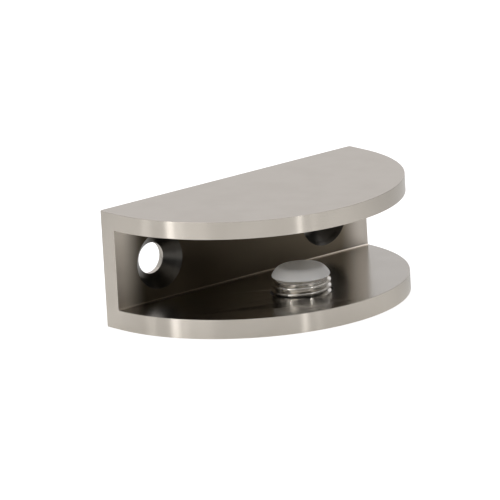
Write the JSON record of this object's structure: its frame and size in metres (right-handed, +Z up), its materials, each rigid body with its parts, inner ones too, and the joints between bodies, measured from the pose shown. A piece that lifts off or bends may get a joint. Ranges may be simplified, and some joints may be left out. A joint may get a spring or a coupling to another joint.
{
  "type": "glass panel clamp",
  "caption": "Half-round wall clamp for a glass panel or shelf, with a countersunk back wall and a threaded screw in the lower flange that lifts a plastic pad against the glass.",
  "frame": {"origin": "on the back face, midway between the two fixing holes", "axes": "+Y out of the back face into the wall, +X along the wall, +Z up from the flange with the screw to the plain flange"},
  "size_m": [0.055, 0.0316, 0.02],
  "materials": {
    "satin_nickel": "satin nickel plating",
    "bright_steel": "bright zinc plated, machined thread",
    "pad_plastic": "translucent white plastic"
  },
  "bodies": {
    "bracket": {"clamp_body": "satin_nickel"},
    "pad": {"screw_pad": "pad_plastic"},
    "screw": {"clamp_screw": "bright_steel"}
  },
  "joints": [
    {"name": "pad_advance", "type": "slide", "parent": "bracket", "child": "pad", "axis": [0, 0, 1], "range_m": [-0.0027, 0.0012]},
    {"name": "screw_turn", "type": "hinge", "parent": "pad", "child": "screw", "pos_m": [0, -0.0184, 0], "axis": [0, 0, 1], "range_deg": [-972, 432]}
  ],
  "couplings": [
    {"joint": "screw_turn", "follows": "pad_advance", "rad_per_m": 6283.2}
  ]
}
